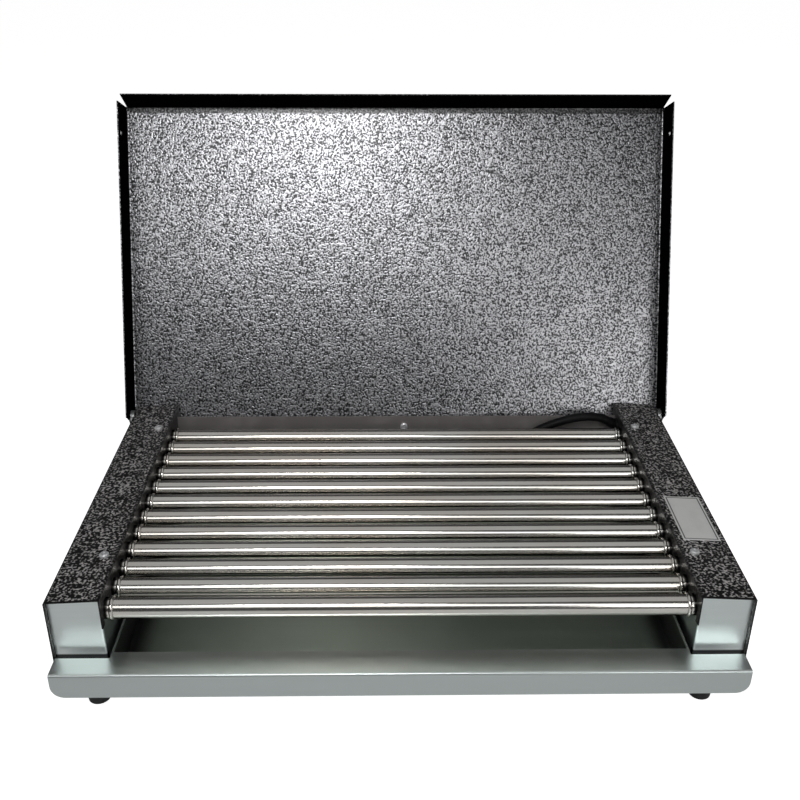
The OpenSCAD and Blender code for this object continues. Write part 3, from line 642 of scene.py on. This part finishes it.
# Polished tubes: fine lines round the tube, a warm cast, and slow changes in the polish
tubeLook = {
    "warm": (0.76, 0.72, 0.66),
    "cool": (0.8, 0.79, 0.75),
    "castScale": 9.0,
    "castSpan": (0.35, 0.65),
    "lineStretch": (2500.0, 60.0, 60.0),
    "lineShare": 0.4,
    "streakStretch": (3.0, 260.0, 260.0),
    "streakShare": 0.6,
    "polishSpan": (0.3, 0.7),
    "smooth": 0.13,
    "rough": 0.21,
    "edgeTint": (0.15, 0.14, 0.13),
    "bump": 0.03,
    "bumpDepth": 0.0001,
    "end": (0.06, 0.057, 0.054),
    "endFrom": (0.2162, 0.2177),
    # Painted shade on the tubes' undersides
    "under": (0.18, 0.165, 0.15),
    "underFacing": (-0.05, 0.25),
    "behindFront": (-0.176, -0.174),
}


def tubeMaterial(name, look):
    material, tree, shader = newMaterial(name)
    place = objectPlace(tree)
    apart = splitPlace(tree, place)
    lines = addStretchedNoise(tree, place, look["lineStretch"])
    streaks = addStretchedNoise(tree, place, look["streakStretch"])
    cast = addRange(tree, addNoise(tree, place, look["castScale"], detail=2.0), look["castSpan"])
    color = addMix(tree, cast, look["warm"], look["cool"])
    # Painted shade: behind the front tube the undersides are painted dark
    under = addRange(tree, splitPlace(tree, surfaceNormal(tree))["Z"], look["underFacing"], (1, 0))
    underShadeMask = addMath(tree, "MULTIPLY", under, addRange(tree, apart["Y"], look["behindFront"]))
    color = addMix(tree, underShadeMask, color, look["under"])
    # The ends beyond the stop beads are painted darker
    pastBeads = addRange(tree, addMath(tree, "ABSOLUTE", apart["X"]), look["endFrom"])
    lined = addMath(tree, "MULTIPLY", lines, look["lineShare"])
    polish = addMath(tree, "MULTIPLY_ADD", streaks, look["streakShare"], lined)
    setShader(tree, shader, {
        "Base Color": addMix(tree, pastBeads, color, look["end"]),
        "Roughness": addRange(tree, polish, look["polishSpan"], (look["smooth"], look["rough"]), "LINEAR"),
        "Metallic": 1.0,
        "Specular Tint": look["edgeTint"],
    })
    addBump(tree, shader, polish, look)
    return material


tubeSteel = tubeMaterial("polishedTube", tubeLook)


# Bare foil plate with a thin dark line inside its edge
labelLook = {
    "base": (0.95, 0.95, 0.93),
    "worn": (0.88, 0.88, 0.86),
    "scale": 700.0,
    "smooth": 0.3,
    "rough": 0.42,
    "metal": 0.1,
    "bump": 0.08,
    "bumpDepth": 0.0002,
    "ink": (0.12, 0.12, 0.12),
    "margin": 0.0018,
    "line": (0.0003, 0.0006),
}


def addGrain(tree, place, look):
    return useGroup(tree, grainGroup, {
        "Place": place, "Scale": look["scale"], "Base": look["base"], "Worn": look["worn"],
        "Smooth": look["smooth"], "Rough": look["rough"],
    })


def labelMaterial(name, look):
    material, tree, shader = newMaterial(name)
    place = objectPlace(tree)
    grain = addGrain(tree, place, look)
    low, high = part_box("label_plate")
    middle = (low + high) / 2
    half = (high - low) / 2
    apart = splitPlace(tree, place)
    spans = []
    for axis in (0, 1):
        offset = addMath(tree, "ABSOLUTE", addMath(tree, "SUBTRACT", apart[axis], middle[axis]))
        spans.append(addMath(tree, "SUBTRACT", half[axis] - look["margin"], offset))
    nearest = addMath(tree, "ABSOLUTE", addMath(tree, "MINIMUM", *spans))
    line = addRange(tree, nearest, look["line"], (1, 0))
    setShader(tree, shader, {
        "Base Color": addMix(tree, line, grain["Color"], look["ink"]),
        "Roughness": grain["Roughness"],
        "Metallic": look["metal"],
    })
    addBump(tree, shader, grain["Height"], look)
    return material


labelFoil = labelMaterial("bareLabelFoil", labelLook)


# Grained materials, each named for its piece or stuff. What one doesn't say is as in plainGrain
plainGrain = {"scale": 900.0, "metal": 0.0, "specular": 0.5, "bump": 0.15, "bumpDepth": 0.0003}
grainLooks = {
    "rearPanelSteel": {
        "base": (0.32, 0.295, 0.29), "worn": (0.39, 0.36, 0.355), "smooth": 0.42, "rough": 0.55,
        "metal": 0.4,
    },
    "platedSteel": {
        "base": (0.86, 0.87, 0.88), "worn": (0.74, 0.75, 0.76), "smooth": 0.22, "rough": 0.34, "metal": 0.88,
        "bump": 0.06,
    },
    "coverScrewSteel": {
        "base": (0.95, 0.96, 0.97), "worn": (0.85, 0.86, 0.87), "smooth": 0.28, "rough": 0.36, "metal": 0.65,
        "bump": 0.06,
    },
    "blackenedSteel": {
        "base": (0.02, 0.02, 0.021), "worn": (0.035, 0.035, 0.036), "smooth": 0.3, "rough": 0.45,
        "metal": 0.4,
    },
    "blackFeet": {
        "base": (0.016, 0.016, 0.017), "worn": (0.03, 0.03, 0.031), "smooth": 0.45, "rough": 0.62,
    },
    "leadRubber": {
        "base": (0.005, 0.005, 0.006), "worn": (0.01, 0.01, 0.011), "smooth": 0.4, "rough": 0.56,
        "scale": 1400.0, "bump": 0.2, "specular": 0.15,
    },
    "tieStrap": {
        "base": (0.02, 0.02, 0.022), "worn": (0.045, 0.045, 0.048), "smooth": 0.6, "rough": 0.8,
        "scale": 1600.0, "bump": 0.5,
    },
    "plugRubber": {
        "base": (0.018, 0.018, 0.019), "worn": (0.03, 0.03, 0.031), "smooth": 0.42, "rough": 0.6,
        "scale": 1100.0, "bump": 0.25,
    },
    "nickelPins": {
        "base": (0.78, 0.75, 0.66), "worn": (0.7, 0.66, 0.56), "smooth": 0.16, "rough": 0.28, "metal": 1.0,
        "bump": 0.05,
    },
    "whiteCeramic": {
        "base": (0.82, 0.79, 0.72), "worn": (0.74, 0.7, 0.62), "smooth": 0.5, "rough": 0.68, "scale": 600.0,
    },
    "heatingWire": {
        "base": (0.34, 0.32, 0.31), "worn": (0.26, 0.23, 0.22), "smooth": 0.45, "rough": 0.6, "metal": 1.0,
    },
    "brassStrip": {
        "base": (0.72, 0.54, 0.26), "worn": (0.6, 0.44, 0.22), "smooth": 0.26, "rough": 0.42, "metal": 1.0,
    },
    "leadSleeve": {
        "base": (0.22, 0.12, 0.07), "worn": (0.28, 0.16, 0.1), "smooth": 0.5, "rough": 0.65,
    },
    "blueSleeve": {
        "base": (0.05, 0.14, 0.34), "worn": (0.07, 0.18, 0.4), "smooth": 0.5, "rough": 0.65,
    },
    "earthSleeve": {
        "base": (0.32, 0.46, 0.06), "worn": (0.4, 0.52, 0.1), "smooth": 0.5, "rough": 0.65,
    },
}


def grainMaterial(name, look):
    material, tree, shader = newMaterial(name)
    grain = addGrain(tree, objectPlace(tree), look)
    setShader(tree, shader, {
        "Base Color": grain["Color"],
        "Roughness": grain["Roughness"],
        "Metallic": look["metal"],
        "Specular IOR Level": look["specular"],
    })
    addBump(tree, shader, grain["Height"], look)
    return material


grained = {name: grainMaterial(name, {**plainGrain, **look}) for name, look in grainLooks.items()}


# Which nodes each material goes on
materialNodes = [
    (coverPaint, ["left_cover", "right_cover"]),
    (lidPaint, ["lid"]),
    (zincSheet, ["left_chassis", "right_chassis", "front_rail", "rear_rail", "left_tray_runner",
                 "right_tray_runner", "cord_clamp"]),
    (zincTray, ["drip_tray"]),
    (tubeSteel, ["tube_%02d" % number for number in range(1, 13)]),
    (labelFoil, ["label_plate"]),
    (grained["rearPanelSteel"], ["rear_panel"]),
    (grained["platedSteel"], ["terminal_pins", "terminal_nuts", "block_screws", "earth_screw",
                              "hinge_spacers", "hinge_nuts", "foot_screws"]),
    (grained["coverScrewSteel"], ["cover_screws", "panel_screw"]),
    (grained["blackenedSteel"], ["hinge_screws"]),
    (grained["blackFeet"], ["front_left_foot", "front_right_foot", "rear_left_foot", "rear_right_foot"]),
    (grained["leadRubber"], ["cord_boot", "cord_tail"]),
    (grained["plugRubber"], ["plug_body"]),
    (grained["nickelPins"], ["plug_pins"]),
    (grained["whiteCeramic"], ["ceramic_cores", "end_bushes", "terminal_block"]),
    (grained["heatingWire"], ["heating_windings"]),
    (grained["brassStrip"], ["left_bus_strip", "right_bus_strip"]),
    (grained["leadSleeve"], ["cord_cores", "live_lead"]),
    (grained["blueSleeve"], ["neutral_link"]),
    (grained["earthSleeve"], ["earth_lead"]),
]


def giveMaterial(piece, material):
    piece.data.materials.clear()
    piece.data.materials.append(material)


for material, nodeNames in materialNodes:
    for nodeName in nodeNames:
        giveMaterial(nodes[nodeName], material)
giveMaterial(mainsLead, grained["leadRubber"])
giveMaterial(leadTie, grained["tieStrap"])
print("materials given to", sum(len(nodeNames) for material, nodeNames in materialNodes), "nodes")


# Floor and lights: a white floor, three soft lights in front, a wide one overhead, and grey walls that
# only reflections see
white = (1, 1, 1)
studioSetup = {
    "floorSize": 12.0,
    "floorDrop": 0.0005,
    "floorColor": (0.8, 0.8, 0.8),
    "floorRough": 0.9,
    "floorSpecular": 0.1,
    "floorGlow": 0.08,
    "floorToCamera": 0.95,
    "roomLight": 0.05,
    "wallLight": 0.35,
    "wallFrom": (0.5, 0.85),
    "backdrop": 1.0,
}
lightSetups = {
    "wideKey": {
        "place": (-0.12, -0.95, 0.82), "aim": (0.0, 0.0, 0.1), "size": (1.4, 0.32), "power": 2.2,
    },
    "lidKey": {
        "place": (-0.15, -0.98, 1.16), "aim": (0.0, 0.2, 0.3), "size": (0.32, 0.26), "power": 3.8,
    },
    "sideKey": {
        "place": (0.5, -0.88, 0.42), "aim": (0.15, 0.1, 0.12), "size": (0.36, 0.26), "power": 0.9,
    },
    "ceiling": {
        "place": (0.0, 0.2, 2.0), "aim": (0.0, 0.1, 0.0), "size": (2.6, 2.0), "power": 5.6,
    },
}


def addFloor(setup):
    bpy.ops.mesh.primitive_plane_add(size=setup["floorSize"], location=(0, 0, -setup["floorDrop"]))
    floor = bpy.context.object
    floor.name = "floor"
    material, tree, shader = newMaterial("paleFloor")
    # The camera sees the floor brighter than it lights the grill, as on a cut-out page
    seen = addNode(tree, "ShaderNodeLightPath").outputs["Is Camera Ray"]
    setShader(tree, shader, {
        "Base Color": setup["floorColor"],
        "Roughness": setup["floorRough"],
        "Specular IOR Level": setup["floorSpecular"],
        "Emission Color": white,
        "Emission Strength": addBlend(tree, seen, setup["floorGlow"], setup["floorToCamera"]),
    })
    giveMaterial(floor, material)
    deselectAll()


def addLight(name, setup):
    bpy.ops.object.light_add(type="AREA", location=setup["place"])
    lamp = bpy.context.object
    lamp.name = name
    lamp.data.shape = "RECTANGLE"
    lamp.data.size, lamp.data.size_y = setup["size"]
    lamp.data.energy = setup["power"]
    way = Vector(setup["aim"]) - Vector(setup["place"])
    lamp.rotation_euler = way.to_track_quat("-Z", "Y").to_euler()
    deselectAll()


def addWorld(setup):
    # Grey room light, walls at the sides for the reflections, and white behind the object
    world = bpy.data.worlds.new("studio")
    scene.world = world
    world.use_nodes = True
    tree = world.node_tree
    tree.nodes.clear()
    path = addNode(tree, "ShaderNodeLightPath").outputs
    way = addNode(tree, "ShaderNodeTexCoord").outputs["Generated"]
    walls = addRange(tree, addMath(tree, "ABSOLUTE", splitPlace(tree, way)["X"]), setup["wallFrom"])
    reflected = addMath(tree, "MULTIPLY", walls, path["Is Glossy Ray"])
    strength = addBlend(tree, reflected, setup["roomLight"], setup["wallLight"])
    room = addNode(tree, "ShaderNodeBackground", {}, {"Color": white, "Strength": strength})
    backdrop = addNode(tree, "ShaderNodeBackground", {}, {"Color": white, "Strength": setup["backdrop"]})
    mixed = addNode(tree, "ShaderNodeMixShader", {}, {
        0: path["Is Camera Ray"], 1: room.outputs[0], 2: backdrop.outputs[0],
    })
    addNode(tree, "ShaderNodeOutputWorld", {}, {"Surface": mixed.outputs[0]})


addFloor(studioSetup)
for lightName, lightSetup in lightSetups.items():
    addLight(lightName, lightSetup)
addWorld(studioSetup)
scene.view_settings.view_transform = "Standard"
print("studio set")
